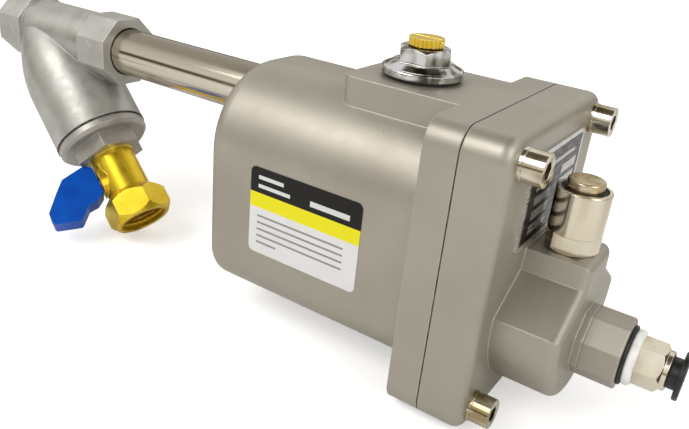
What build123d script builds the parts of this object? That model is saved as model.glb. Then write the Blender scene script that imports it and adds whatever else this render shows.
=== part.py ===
# Automatic drain valve for compressed air: a Y strainer with a ball blow-down valve, an inlet pipe,
# a cast float housing and a cover that carries the drain valve, its test button and the tube outlet.
# Millimetres. +X runs along the inlet pipe towards the outlet, +Z is up, and the origin is the
# centre of the strainer's inlet mouth. Each with-block below makes one piece.
from build123d import *
import os
from math import cos, radians, sin, sqrt, tan

os.makedirs("parts", exist_ok=True)

# ---------------------------------------------------------------- driving dimensions
# clearances
seat_gap = 0.3            # loose pieces of different bodies
running_gap = 0.05        # shafts and pistons in their bores, on the radius
thread_gap = 0.1          # screwed joints, on the radius
eps = 0.01

# pipe threads, as plain cylinders at the crest of the thread
g12_r = 20.955 / 2        # G 1/2
g38_r = 16.662 / 2        # G 3/8
g14_r = 13.157 / 2        # G 1/4

# Y strainer
strainer_length = 75.0
strainer_flats = 28.6     # across the eight flats of each end
strainer_end_in = 15.5    # length of the flats at the inlet
strainer_end_out = 17.5   # length of the flats at the outlet
strainer_run_r = 13.4
strainer_bore_r = 7.8
port_depth = 14.0         # length of each G 1/2 port
end_chamfer = 1.4
leg_x = 16.3              # where the leg's axis crosses the pipe axis
leg_down = 41.9           # degrees below the pipe axis
leg_turn = -10.5          # degrees turned about the pipe axis
leg_r = 21.0
leg_root_r = 12.6
leg_swell = 34.0          # distance over which the leg grows to its full radius
leg_length = 62.6         # from the pipe axis to the face under the cap
leg_bore_r = 16.6

# strainer cap, gasket and screen
cap_gasket_thickness = 0.7
cap_r = 20.6
cap_thickness = 4.2
cap_hex = 28.0
cap_hex_turn = 16.0       # degrees about the leg
cap_hex_height = 6.8
cap_spigot = 9.0
screen_r = 14.9
screen_wall = 0.5
screen_start = 20.0       # distance of the screen's closed end ring from the pipe axis
screen_window = 5.0
screen_rows = 4
screen_columns = 8

# ball valve
valve_barrel_r = 9.85
valve_barrel_length = 19.5
valve_hex = 25.6
valve_hex_turn = 50.0     # degrees about the leg
valve_hex_length = 14.7
valve_port_depth = 11.0
valve_engagement = 10.0
ball_r = 7.6
ball_bore_r = 4.6
ball_offset = 10.5        # ball centre from the face of the cap's hexagon
chamber_r = 8.2
valve_seat_thickness = 2.6
valve_seat_bore_r = 4.8
insert_length = 2.6
stem_turn = 215.0         # degrees about the leg's axis
stem_r = 2.9
stem_boss_r = 7.2
stem_boss_height = 10.4   # from the barrel's axis
packing_r = 4.6
packing_height = 2.2
tang_width = 2.4
tang_depth = 1.4

# handle of the ball valve: a block lever, a = along the barrel and b = out along the stem
handle_base = 11.0        # distance of the foot from the barrel's axis
handle_back = 10.2        # radius behind the stem's axis, clear of the cap's hexagon as it turns
handle_front = 8.6        # reach ahead of it at the foot
handle_shoulder = 25.0    # where the sloping end starts
handle_waist = 19.5       # where the tip leaves the block
handle_tip_reach = 14.6   # tip ahead of the stem's axis
handle_tip_width = 8.6
handle_tip_rise = 36.2    # top of the tip above the barrel's axis
handle_thickness = 10.4
handle_corner = 1.4
handle_ridge = -1.5       # where the ridge of its outer face lies
handle_slope = 15.0       # degrees that the face falls away behind the ridge
handle_recess_r = 3.6
handle_recess_at = 22.0   # floor of the screw's recess above the barrel's axis
handle_screw_r = 3.3
handle_screw_head = 2.4
handle_screw_shank_r = 1.9
handle_screw_length = 7.0
screw_cross = 3.6         # length of the cross in its head
screw_cross_width = 0.9
screw_cross_depth = 1.2

# inlet pipe
pipe_r = 10.1
pipe_bore_r = 7.6
pipe_exposed = 81.0
pipe_engagement = 12.0

# housing
housing_length = 100.5
housing_drop = 29.0       # middle of the housing below the pipe axis
body_width = 70.5
body_rise = 44.3          # top of the body above the middle
body_fall = 39.5          # bottom of the body below the middle
body_top_radius = 30.0
body_bottom_radius = 14.5
rear_radius = 7.0
housing_wall = 4.5
rear_wall = 6.0
pipe_boss_r = 14.5
pipe_boss_length = 8.0
flange_width = 83.0
flange_height = 100.0
flange_thickness = 11.2
flange_radius = 8.0
cast_blend = 2.0
top_pad_width = 41.0
top_pad_length = 43.5     # behind the flange
top_pad_radius = 5.0

# cover and its gasket
gasket_thickness = 0.5
gasket_rim = 8.5
cover_thickness = 15.0
cover_edge = 4.0
boss_r = 29.5
boss_drop = 13.4          # boss centre below the middle of the housing
boss_length = 21.5
boss_edge = 3.2
shoulder_half = 12.2      # half width where the shoulders meet the button pad
shoulder_fall = 28.6      # height of that line below the pipe axis
shoulder_slope = 32.0     # degrees
pad_draft = 0.9
pad_rise = 7.3
cylinder_r = 13.0
outlet_drop = 22.0        # outlet axis below the middle of the housing
outlet_flats = 22.6
outlet_stub = 2.6

# cover screws, M6 socket head
screw_y = 32.2
screw_z = 41.8
screw_r = 3.0
screw_head_r = 5.0
screw_head_height = 6.0
screw_washer_height = 1.3
screw_washer_r = 5.2
screw_socket = 5.0
screw_socket_depth = 3.2
screw_depth = 10.0
screw_hole_r = 3.3

# name plate and side label
plate_width = 47.0
plate_height = 31.0
plate_thickness = 0.8
plate_rise = 25.6         # plate centre above the middle of the housing
label_length = 46.7
label_height = 33.1
label_thickness = 0.2
label_rear = 22.3         # label's rear edge from the rear of the housing
label_centre = -1.7       # label centre from the middle of the housing
label_radius = 2.2

# top plug and its bleed screw
plug_rear = 65.3          # plug axis from the rear of the housing
plug_ring_height = 1.3
plug_ring_r = 13.2
plug_flange_r = 14.0
plug_flange_height = 2.4
plug_dome_height = 1.6
plug_dome_r = 10.4
plug_hex = 16.6
plug_hex_height = 5.0
plug_spigot = 9.5
vent_r = 1.2
bleed_head_r = 6.0
bleed_head_height = 2.8
bleed_shank_r = 2.9
bleed_shank_length = 9.0
knurl_count = 24
knurl_depth = 0.45

# test button on the cover
button_x = 26.3           # button axis ahead of the housing's front face
button_base_hex = 15.4
button_base_height = 6.4
button_collar_r = 8.7
button_collar_height = 14.4
button_spigot = 8.0
button_r = 5.9
button_proud = 3.0
button_travel = 1.6
button_cap_height = 7.5
button_stem_r = 1.9
button_floor = 2.5
lip_r = 7.4
lip_height = 1.6
lip_sink = 0.4
button_wire_r = 0.5
button_coil_r = 4.4
button_coils = 5

# outlet adapter and push-in fitting for an 8 mm tube
adapter_length = 12.0
adapter_spigot = 7.5
outlet_bore_r = 3.2
ring_black_r = 10.1
ring_black_thickness = 1.1
ring_white_r = 9.4
ring_white_thickness = 3.0
fitting_hex = 14.0
fitting_hex_length = 8.0
fitting_nose_length = 1.8
fitting_nose_r = 6.6
fitting_spigot = 8.5
tube_r = 4.0
tube_stop = 12.5          # depth of the tube stop from the nose
collar_neck_r = 5.2
collar_flange_r = 8.0
collar_flange_thickness = 1.7
collar_out = 2.6          # gap from nose to collar flange
collar_travel = 1.2
collar_depth = 4.0
grab_ring_thickness = 0.9
tube_ring_thickness = 2.4

# float and lever in the housing
float_r = 22.5
float_arm = 47.0          # pivot to float centre
float_dip = 16.0          # degrees below level at rest
float_lift = 18.0         # degrees of travel
pivot_back = 9.5          # pivot behind the cover
pivot_drop = 20.0         # pivot below the pipe axis
pivot_r = 1.5
lever_width = 8.0
lever_thickness = 3.0
lever_eye_r = 4.0
lever_heel = 9.0          # heel above the pivot
bracket_cheek = 2.5
bracket_height = 16.0
bracket_width = 15.0
bracket_base = 2.5
bracket_screw_r = 1.6
bracket_screw_head_r = 2.9
bracket_screw_length = 8.0

# pilot valve in the cover
pilot_seat_r = 5.0
pilot_seat_length = 8.0
pilot_pin_r = 1.5
pilot_head_r = 2.6
pilot_head_length = 1.5
pilot_floor = 2.5         # wall of the nozzle that stops the pin's head

# drain piston, spring, cylinder cap and main seat
cylinder_cap_r = 14.6
cylinder_cap_thickness = 2.5
cylinder_length = 24.0
piston_length = 7.0
piston_travel = 4.0
piston_nose_r = 6.0
piston_ring_r = 1.1
valve_disc_thickness = 1.5
main_seat_r = 8.0
main_seat_thickness = 3.0
main_chamber_r = 9.0
drain_wire_r = 0.7
drain_coil_r = 7.5
drain_coils = 3.5

# ---------------------------------------------------------------- places worked out from them
rear_x = strainer_length + pipe_exposed
front_x = rear_x + housing_length
cover_x = front_x + gasket_thickness
cover_front = cover_x + cover_thickness
boss_front = cover_front + boss_length
stub_front = boss_front + outlet_stub
middle_z = -housing_drop
flange_top = middle_z + flange_height / 2
outlet_z = middle_z - outlet_drop
boss_z = middle_z - boss_drop
pad_top = -shoulder_fall + pad_rise
plug_x = rear_x + plug_rear
button_axis_x = front_x + button_x
pivot_x = cover_x - pivot_back
pivot_z = -pivot_drop
pilot_z = pivot_z + lever_heel
pilot_tip = pivot_back - lever_thickness / 2 - seat_gap    # how far the pin stands out of the nozzle
bracket_screw_z = pivot_z - bracket_height / 2 + bracket_screw_head_r + seat_gap

# the leg's own axes: along it, across it and the third
leg_dir = Vector(1, 0, 0).rotate(Axis.Y, leg_down).rotate(Axis.X, leg_turn)
leg_side = Vector(0, 1, 0).rotate(Axis.X, leg_turn)
leg_plane = Plane(origin=(leg_x, 0, 0), x_dir=leg_side, z_dir=leg_dir)
cap_face = leg_length + cap_gasket_thickness
cap_front = cap_face + cap_thickness
hex_front = cap_front + cap_hex_height
barrel_end = hex_front + valve_barrel_length
valve_end = barrel_end + valve_hex_length
ball_at = hex_front + ball_offset

# the stem's axes: x along the barrel, z outwards through the handle
stem_out = leg_side.rotate(Axis((0, 0, 0), tuple(leg_dir)), stem_turn)
ball_centre = leg_plane.offset(ball_at).origin
stem_plane = Plane(origin=ball_centre, x_dir=leg_dir, z_dir=stem_out)
lever_plane = Plane(origin=ball_centre, x_dir=leg_dir, z_dir=leg_dir.cross(stem_out))


def octagon(plane, flats):
    """Eight equal flats, two of them level."""
    with BuildSketch(plane) as profile:
        RegularPolygon(radius=flats / 2, side_count=8, major_radius=False, rotation=22.5)
    return profile.sketch


def disc(plane, radius):
    with BuildSketch(plane) as profile:
        Circle(radius)
    return profile.sketch


def ring(plane, outer, inner):
    with BuildSketch(plane) as profile:
        Circle(outer)
        Circle(inner, mode=Mode.SUBTRACT)
    return profile.sketch


def hexagon(plane, flats, turn=0.0):
    with BuildSketch(plane) as profile:
        RegularPolygon(radius=flats / 2, side_count=6, major_radius=False, rotation=turn)
    return profile.sketch


def arch(plane, half_width, top, bottom, top_radius, bottom_radius):
    """Cross-section of the housing: upright sides, a barrel top and rounded bottom corners."""
    with BuildSketch(plane) as profile:
        with Locations((0, (top + bottom) / 2)):
            Rectangle(2 * half_width, top - bottom)
        fillet(profile.vertices().group_by(Axis.Y)[-1], top_radius)
        fillet(profile.vertices().group_by(Axis.Y)[0], bottom_radius)
    return profile.sketch


def across(x, y=0.0, z=0.0):
    """Plane that faces +X at x, centred on y and z."""
    return Plane(origin=(x, y, z), x_dir=(0, 1, 0), z_dir=(1, 0, 0))


# ================================================================ Y strainer
with BuildPart() as strainer_body:
    extrude(octagon(across(0), strainer_flats), amount=strainer_end_in)
    extrude(disc(across(0), strainer_run_r), amount=strainer_length)
    extrude(octagon(across(strainer_length - strainer_end_out), strainer_flats), amount=strainer_end_out)
    # the leg swells from the run to its full radius
    with BuildSketch(Plane(origin=leg_plane.origin, x_dir=leg_side, z_dir=leg_dir.cross(leg_side) * -1)):
        with BuildLine():
            root = (leg_root_r, 0)
            full = (leg_r, leg_swell)
            Line((0, 0), root)
            Spline(root, full, tangents=[(0.35, 1), (0, 1)])
            Line(full, (leg_r, leg_length))
            Line((leg_r, leg_length), (0, leg_length))
            Line((0, leg_length), (0, 0))
        make_face()
    revolve(axis=Axis(leg_plane.origin, leg_dir))
    # ports, through bore and the screen's chamber
    extrude(disc(across(0), g12_r), amount=port_depth, mode=Mode.SUBTRACT)
    extrude(disc(across(strainer_length), g12_r), amount=-port_depth, mode=Mode.SUBTRACT)
    extrude(disc(across(0), strainer_bore_r), amount=strainer_length, mode=Mode.SUBTRACT)
    extrude(disc(leg_plane.offset(screen_start), leg_bore_r), amount=leg_length - screen_start,
            mode=Mode.SUBTRACT)
    extrude(disc(leg_plane, strainer_bore_r + 2), amount=leg_length, mode=Mode.SUBTRACT)
strainer_body.part.label = "strainer_body"
export_step(strainer_body.part, "parts/strainer_body.step")

with BuildPart() as cap_gasket:
    extrude(ring(leg_plane.offset(leg_length), leg_r, leg_bore_r), amount=cap_gasket_thickness)
cap_gasket.part.label = "cap_gasket"
export_step(cap_gasket.part, "parts/cap_gasket.step")

with BuildPart() as strainer_cap:
    extrude(disc(leg_plane.offset(cap_face), cap_r), amount=cap_thickness)
    chamfer(strainer_cap.edges().filter_by(GeomType.CIRCLE).sort_by(
        lambda edge: (edge.center() - leg_plane.origin).dot(leg_dir))[-1], end_chamfer)
    extrude(hexagon(leg_plane.offset(cap_front), cap_hex, cap_hex_turn), amount=cap_hex_height)
    extrude(disc(leg_plane.offset(cap_face - cap_spigot), leg_bore_r - thread_gap), amount=cap_spigot)
    # the screen stands in a recess behind the spigot, and the blow-down bore runs right through
    extrude(disc(leg_plane.offset(cap_face - cap_spigot), screen_r + thread_gap),
            amount=cap_spigot - 2, mode=Mode.SUBTRACT)
    extrude(disc(leg_plane.offset(cap_face - cap_spigot), g12_r),
            amount=cap_spigot + cap_thickness + cap_hex_height, mode=Mode.SUBTRACT)
strainer_cap.part.label = "strainer_cap"
export_step(strainer_cap.part, "parts/strainer_cap.step")

screen_end = cap_face - 2
with BuildPart() as strainer_screen:
    extrude(ring(leg_plane.offset(screen_start), screen_r, screen_r - screen_wall),
            amount=screen_end - screen_start)
    # rows of windows between the two plain end bands
    row_step = (leg_length - cap_spigot - screen_start - 2) / screen_rows
    for row in range(screen_rows):
        for column in range(screen_columns):
            window_plane = Plane(
                origin=leg_plane.offset(screen_start + 2 + (row + 0.5) * row_step).origin,
                x_dir=leg_dir,
                z_dir=leg_side.rotate(Axis((0, 0, 0), tuple(leg_dir)), 360 * column / screen_columns))
            with BuildSketch(window_plane):
                Rectangle(screen_window, screen_window)
            extrude(amount=leg_bore_r, mode=Mode.SUBTRACT)
strainer_screen.part.label = "strainer_screen"
export_step(strainer_screen.part, "parts/strainer_screen.step")

# ================================================================ blow-down ball valve
with BuildPart() as ball_valve_body:
    extrude(disc(leg_plane.offset(hex_front - valve_engagement), g12_r - thread_gap), amount=valve_engagement)
    extrude(disc(leg_plane.offset(hex_front), valve_barrel_r), amount=valve_barrel_length)
    extrude(hexagon(leg_plane.offset(barrel_end), valve_hex, valve_hex_turn), amount=valve_hex_length)
    # the hexagon's two ends are turned to a cone, as on a bar-stock body
    with BuildSketch(Plane(origin=leg_plane.offset(barrel_end).origin, x_dir=leg_side,
                           z_dir=leg_dir.cross(leg_side) * -1)):
        corner_r = valve_hex / 2 / cos(radians(30))
        with BuildLine():
            Polyline((0, 0), (valve_barrel_r + 0.4, 0), (corner_r, 4.5), (corner_r, valve_hex_length - 3.2),
                     (valve_hex / 2 - 0.6, valve_hex_length), (0, valve_hex_length), (0, 0))
        make_face()
    turned = revolve(axis=Axis(leg_plane.origin, leg_dir), mode=Mode.PRIVATE)
    barrel = extrude(disc(leg_plane.offset(hex_front - valve_engagement), valve_barrel_r + eps),
                     amount=valve_engagement + valve_barrel_length, mode=Mode.PRIVATE)
    thread = extrude(disc(leg_plane.offset(hex_front - valve_engagement), g12_r - thread_gap),
                     amount=valve_engagement, mode=Mode.PRIVATE)
    add(turned + barrel + thread, mode=Mode.INTERSECT)
    # stem boss on the side of the barrel
    extrude(disc(stem_plane, stem_boss_r), amount=stem_boss_height)
    # bores: inlet, ball chamber, outlet port, stem and packing
    extrude(disc(leg_plane.offset(hex_front - valve_engagement), valve_seat_bore_r),
            amount=valve_engagement + valve_barrel_length, mode=Mode.SUBTRACT)
    extrude(disc(leg_plane.offset(ball_at - ball_r - 0.6), chamber_r),
            amount=valve_end - ball_at + ball_r + 0.6, mode=Mode.SUBTRACT)
    extrude(disc(leg_plane.offset(valve_end), g12_r), amount=-valve_port_depth, mode=Mode.SUBTRACT)
    extrude(disc(stem_plane, stem_r + running_gap), amount=stem_boss_height, mode=Mode.SUBTRACT)
    extrude(disc(stem_plane.offset(stem_boss_height), packing_r), amount=-packing_height,
            mode=Mode.SUBTRACT)
ball_valve_body.part.label = "ball_valve_body"
export_step(ball_valve_body.part, "parts/ball_valve_body.step")

with BuildPart() as valve_ball:
    with Locations(stem_plane):
        Sphere(ball_r)
    extrude(disc(leg_plane.offset(ball_at - ball_r), ball_bore_r), amount=2 * ball_r, mode=Mode.SUBTRACT)
    # slot for the stem's tang
    with BuildSketch(stem_plane.offset(ball_r)):
        Rectangle(2 * ball_r, tang_width + 2 * running_gap)
    extrude(amount=-tang_depth - 0.2, mode=Mode.SUBTRACT)
valve_ball.part.label = "valve_ball"
export_step(valve_ball.part, "parts/valve_ball.step")

with BuildPart() as ball_seats:
    # PTFE rings, one each side of the ball, hollowed to its radius
    cup_r = ball_r + running_gap
    seat_out = ball_r + 0.5
    seat_in = seat_out - valve_seat_thickness
    for side in (-1, 1):
        with BuildSketch(Plane(origin=ball_centre, x_dir=stem_out, z_dir=leg_dir.cross(stem_out) * side)):
            with BuildLine():
                lip = (valve_seat_bore_r, sqrt(cup_r**2 - valve_seat_bore_r**2))
                rim = (sqrt(cup_r**2 - seat_in**2), seat_in)
                Polyline(lip, (valve_seat_bore_r, seat_out), (chamber_r - running_gap, seat_out),
                         (chamber_r - running_gap, seat_in), rim)
                RadiusArc(rim, lip, -cup_r)
            make_face()
        revolve(axis=Axis(ball_centre, leg_dir))
ball_seats.part.label = "ball_seats"
export_step(ball_seats.part, "parts/ball_seats.step")

with BuildPart() as seat_retainer:
    extrude(ring(leg_plane.offset(ball_at + ball_r + 0.5), chamber_r - running_gap, valve_seat_bore_r),
            amount=insert_length)
    # two spanner slots
    with BuildSketch(leg_plane.offset(ball_at + ball_r + 0.5 + insert_length)):
        Rectangle(4 * chamber_r, 2)
    extrude(amount=-1, mode=Mode.SUBTRACT)
seat_retainer.part.label = "seat_retainer"
export_step(seat_retainer.part, "parts/seat_retainer.step")

with BuildPart() as valve_stem:
    shoulder_at = ball_r + seat_gap
    extrude(disc(stem_plane.offset(shoulder_at), stem_r), amount=handle_recess_at - shoulder_at)
    with BuildSketch(stem_plane.offset(shoulder_at)):
        Rectangle(2 * stem_r - 0.8, tang_width)
    extrude(amount=-(shoulder_at - (ball_r - tang_depth)))
    extrude(disc(stem_plane.offset(handle_recess_at), handle_screw_shank_r),
            amount=-handle_screw_length, mode=Mode.SUBTRACT)
valve_stem.part.label = "valve_stem"
export_step(valve_stem.part, "parts/valve_stem.step")

with BuildPart() as stem_packing:
    extrude(ring(stem_plane.offset(stem_boss_height), packing_r - thread_gap, stem_r + running_gap),
            amount=-packing_height)
stem_packing.part.label = "stem_packing"
export_step(stem_packing.part, "parts/stem_packing.step")

with BuildPart() as valve_handle:
    with BuildSketch(lever_plane.offset(-handle_thickness / 2)) as lever_outline:
        with BuildLine():
            tip_back = (handle_tip_reach - handle_tip_width, handle_tip_rise)
            Polyline((-handle_back + 3, handle_base), (handle_front - 3, handle_base),
                     (handle_front, handle_base + 4), (handle_front + 0.6, handle_waist),
                     (handle_tip_reach, handle_waist + 5.5), (handle_tip_reach - 3, handle_tip_rise),
                     tip_back, (-handle_back + 3, handle_shoulder), (-handle_back, handle_base + 2.5),
                     (-handle_back + 3, handle_base))
        make_face()
        fillet(lever_outline.vertices(), handle_corner)
    extrude(amount=handle_thickness)
    # behind the stem the block is round
    with BuildSketch(stem_plane.offset(handle_base)):
        with Locations((-handle_back, 0)):
            Rectangle(2 * handle_back, 4 * handle_thickness)
        Circle(handle_back, mode=Mode.SUBTRACT)
    extrude(amount=handle_tip_rise, mode=Mode.SUBTRACT)
    # the outer face falls away behind a ridge that runs out along the stem
    ridge = lever_plane.offset(-handle_thickness / 2).from_local_coords(Vector(handle_ridge, 0, 0))
    fall_x = leg_dir.rotate(Axis((0, 0, 0), tuple(stem_out)), 180 + handle_slope)
    with BuildSketch(Plane(origin=ridge, x_dir=fall_x, z_dir=stem_out)):
        with Locations((2 * handle_back, -2 * handle_thickness)):
            Rectangle(4 * handle_back, 4 * handle_thickness)
    extrude(amount=2 * handle_tip_rise, mode=Mode.SUBTRACT)
    extrude(disc(stem_plane.offset(handle_recess_at), handle_recess_r), amount=handle_tip_rise,
            mode=Mode.SUBTRACT)
    extrude(disc(stem_plane, stem_r), amount=handle_recess_at, mode=Mode.SUBTRACT)
valve_handle.part.label = "valve_handle"
export_step(valve_handle.part, "parts/valve_handle.step")

with BuildPart() as handle_screw:
    screw_seat = stem_plane.offset(handle_recess_at)
    extrude(disc(screw_seat, handle_screw_r), amount=handle_screw_head)
    fillet(handle_screw.edges().sort_by(lambda edge: (edge.center() - ball_centre).dot(stem_out))[-1], 1.0)
    extrude(disc(screw_seat, handle_screw_shank_r - running_gap), amount=-handle_screw_length + 1)
    with BuildSketch(screw_seat.offset(handle_screw_head)):
        Rectangle(screw_cross, screw_cross_width)
        Rectangle(screw_cross_width, screw_cross)
    extrude(amount=-screw_cross_depth, mode=Mode.SUBTRACT)
handle_screw.part.label = "handle_screw"
export_step(handle_screw.part, "parts/handle_screw.step")

# ================================================================ inlet pipe
with BuildPart() as inlet_pipe:
    pipe_start = strainer_length - pipe_engagement
    pipe_length = pipe_exposed + 2 * pipe_engagement
    extrude(ring(across(pipe_start), pipe_r, pipe_bore_r), amount=pipe_length)
inlet_pipe.part.label = "inlet_pipe"
export_step(inlet_pipe.part, "parts/inlet_pipe.step")

# ================================================================ housing
with BuildPart() as housing:
    half = body_width / 2
    body_length = housing_length - flange_thickness
    extrude(arch(across(rear_x), half, middle_z + body_rise, middle_z - body_fall,
                 body_top_radius, body_bottom_radius), amount=body_length)
    fillet(housing.faces().sort_by(Axis.X)[0].edges(), rear_radius)
    with BuildSketch(across(front_x - flange_thickness, 0, middle_z)):
        RectangleRounded(flange_width, flange_height, flange_radius)
    extrude(amount=flange_thickness)
    # level pad for the top plug, flush with the flange
    with BuildSketch(Plane.XY.offset(middle_z)) as top_pad:
        with Locations((front_x - flange_thickness - top_pad_length / 2, 0)):
            Rectangle(top_pad_length, top_pad_width)
        fillet(top_pad.vertices().group_by(Axis.X)[0], top_pad_radius)
    extrude(amount=flange_height / 2)
    # float chamber, open at the cover
    wall_top = middle_z + body_rise - housing_wall
    wall_bottom = middle_z - body_fall + housing_wall
    extrude(arch(across(rear_x + rear_wall), half - housing_wall, wall_top, wall_bottom,
                 body_top_radius - housing_wall, body_bottom_radius - housing_wall),
            amount=housing_length - rear_wall, mode=Mode.SUBTRACT)
    # inner boss for the pipe, hung from the top wall
    extrude(disc(across(rear_x + rear_wall - eps), pipe_boss_r), amount=pipe_boss_length + eps)
    extrude(disc(across(rear_x), pipe_r + thread_gap), amount=rear_wall + pipe_boss_length,
            mode=Mode.SUBTRACT)
    # screw holes in the flange and the plug's port
    for side in (-1, 1):
        for level in (-1, 1):
            extrude(disc(across(front_x, side * screw_y, middle_z + level * screw_z), screw_r + thread_gap / 2),
                    amount=-screw_depth - 1, mode=Mode.SUBTRACT)
    with BuildSketch(Plane.XY.offset(flange_top)):
        with Locations((plug_x, 0)):
            Circle(g38_r)
    extrude(amount=-(flange_top - wall_top) - housing_wall, mode=Mode.SUBTRACT)
housing.part.label = "housing"
export_step(housing.part, "parts/housing.step")

with BuildPart() as cover_gasket:
    with BuildSketch(across(front_x, 0, middle_z)):
        RectangleRounded(flange_width, flange_height, flange_radius)
        RectangleRounded(body_width - 2 * housing_wall, body_rise + body_fall - 2 * housing_wall,
                         body_bottom_radius - housing_wall, mode=Mode.SUBTRACT)
        with GridLocations(2 * screw_y, 2 * screw_z, 2, 2):
            Circle(screw_hole_r, mode=Mode.SUBTRACT)
    extrude(amount=gasket_thickness)
cover_gasket.part.label = "cover_gasket"
export_step(cover_gasket.part, "parts/cover_gasket.step")

# ================================================================ cover
with BuildPart() as cover:
    with BuildSketch(across(cover_x, 0, middle_z)):
        RectangleRounded(flange_width, flange_height, flange_radius)
    extrude(amount=cover_thickness)
    fillet(cover.faces().sort_by(Axis.X)[-1].edges(), cover_edge)
    # round cylinder boss with sloping shoulders under a narrow level pad
    with BuildSketch(across(cover_front - cover_edge)) as boss_section:
        with Locations((0, boss_z)):
            Circle(boss_r)
        shoulder_end = shoulder_fall + (boss_r - shoulder_half) * tan(radians(shoulder_slope))
        with BuildLine():
            Polyline((-boss_r, boss_z - boss_r), (-boss_r, -shoulder_end), (-shoulder_half, -shoulder_fall),
                     (-shoulder_half + pad_draft, pad_top), (shoulder_half - pad_draft, pad_top),
                     (shoulder_half, -shoulder_fall), (boss_r, -shoulder_end), (boss_r, boss_z - boss_r),
                     (-boss_r, boss_z - boss_r))
        make_face(mode=Mode.INTERSECT)
    extrude(amount=boss_length + cover_edge)
    fillet(cover.faces().sort_by(Axis.X)[-1].edges(), boss_edge)
    extrude(octagon(across(cover_front, 0, outlet_z), outlet_flats), amount=boss_length + outlet_stub)
    # screw holes
    for side in (-1, 1):
        for level in (-1, 1):
            extrude(disc(across(cover_x, side * screw_y, middle_z + level * screw_z), screw_hole_r),
                    amount=cover_thickness, mode=Mode.SUBTRACT)
    # drain cylinder, recess for its cap, seat recess and the outlet's threaded port
    extrude(disc(across(cover_x, 0, outlet_z), cylinder_cap_r + thread_gap),
            amount=cylinder_cap_thickness, mode=Mode.SUBTRACT)
    extrude(disc(across(cover_x, 0, outlet_z), cylinder_r), amount=cylinder_length, mode=Mode.SUBTRACT)
    seat_front = cover_x + cylinder_length + main_seat_thickness + 2
    extrude(disc(across(cover_x, 0, outlet_z), main_seat_r + thread_gap), amount=seat_front - cover_x,
            mode=Mode.SUBTRACT)
    extrude(disc(across(cover_x, 0, outlet_z), outlet_bore_r), amount=stub_front - cover_x,
            mode=Mode.SUBTRACT)
    extrude(disc(across(stub_front, 0, outlet_z), g38_r + thread_gap), amount=-adapter_spigot - thread_gap,
            mode=Mode.SUBTRACT)
    # water way from the chamber to the seat, below the cylinder
    with BuildSketch(across(cover_x, 0, outlet_z - cylinder_r - 1)):
        SlotOverall(10, 4)
    extrude(amount=cylinder_length - 2, mode=Mode.SUBTRACT)
    # pilot nozzle's hole and the channel down to the cylinder
    extrude(disc(across(cover_x, 0, pilot_z), pilot_seat_r + thread_gap),
            amount=pilot_seat_length, mode=Mode.SUBTRACT)
    extrude(disc(across(cover_x, 0, bracket_screw_z), bracket_screw_r + thread_gap / 2),
            amount=bracket_screw_length, mode=Mode.SUBTRACT)
    # button port from the pad down to the cylinder
    with BuildSketch(Plane.XY.offset(pad_top)):
        with Locations((button_axis_x, 0)):
            Circle(g14_r + thread_gap)
    extrude(amount=-button_spigot - thread_gap, mode=Mode.SUBTRACT)
    with BuildSketch(Plane.XY.offset(pad_top)):
        with Locations((button_axis_x, 0)):
            Circle(button_stem_r)
    extrude(amount=outlet_z + main_seat_r - 1 - pad_top, mode=Mode.SUBTRACT)
cover.part.label = "cover"
export_step(cover.part, "parts/cover.step")

with BuildPart() as cover_screws:
    washer_front = cover_front + screw_washer_height
    for side in (-1, 1):
        for level in (-1, 1):
            y = side * screw_y
            z = middle_z + level * screw_z
            extrude(disc(across(washer_front, y, z), screw_head_r), amount=screw_head_height)
            extrude(disc(across(washer_front, y, z), screw_r), amount=-(washer_front - front_x) - screw_depth)
            extrude(hexagon(across(washer_front + screw_head_height, y, z), screw_socket),
                    amount=-screw_socket_depth, mode=Mode.SUBTRACT)
cover_screws.part.label = "cover_screws"
export_step(cover_screws.part, "parts/cover_screws.step")

with BuildPart() as spring_washers:
    for side in (-1, 1):
        for level in (-1, 1):
            place = across(cover_front, side * screw_y, middle_z + level * screw_z)
            extrude(ring(place, screw_washer_r, screw_r + 0.1), amount=screw_washer_height)
            # the split
            with BuildSketch(place):
                with Locations((screw_r + 1, 0)):
                    Rectangle(4, 0.8)
            extrude(amount=screw_washer_height, mode=Mode.SUBTRACT)
spring_washers.part.label = "spring_washers"
export_step(spring_washers.part, "parts/spring_washers.step")

with BuildPart() as name_plate:
    with BuildSketch(across(cover_front, 0, middle_z + plate_rise)):
        RectangleRounded(plate_width, plate_height, 1)
    extrude(amount=plate_thickness)
name_plate.part.label = "name_plate"
export_step(name_plate.part, "parts/name_plate.step")

with BuildPart() as side_label:
    label_x = rear_x + label_rear + label_length / 2
    with BuildSketch(Plane(origin=(label_x, -body_width / 2, middle_z + label_centre), x_dir=(1, 0, 0),
                           z_dir=(0, -1, 0))):
        RectangleRounded(label_length, label_height, label_radius)
    extrude(amount=label_thickness)
side_label.part.label = "side_label"
export_step(side_label.part, "parts/side_label.step")

# ================================================================ top plug and bleed screw
plug_base = flange_top + plug_ring_height
flange_up = plug_base + plug_flange_height
dome_up = flange_up + plug_dome_height
hex_up = dome_up + plug_hex_height


def upright(z, x, y=0.0):
    """Level plane at height z, centred on x and y."""
    return Plane(origin=(x, y, z))


with BuildPart() as plug_ring:
    extrude(ring(upright(flange_top, plug_x), plug_ring_r, g38_r + 0.3), amount=plug_ring_height)
    fillet(plug_ring.edges().filter_by(GeomType.CIRCLE).group_by(SortBy.RADIUS)[-1], plug_ring_height * 0.4)
plug_ring.part.label = "plug_ring"
export_step(plug_ring.part, "parts/plug_ring.step")

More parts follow.
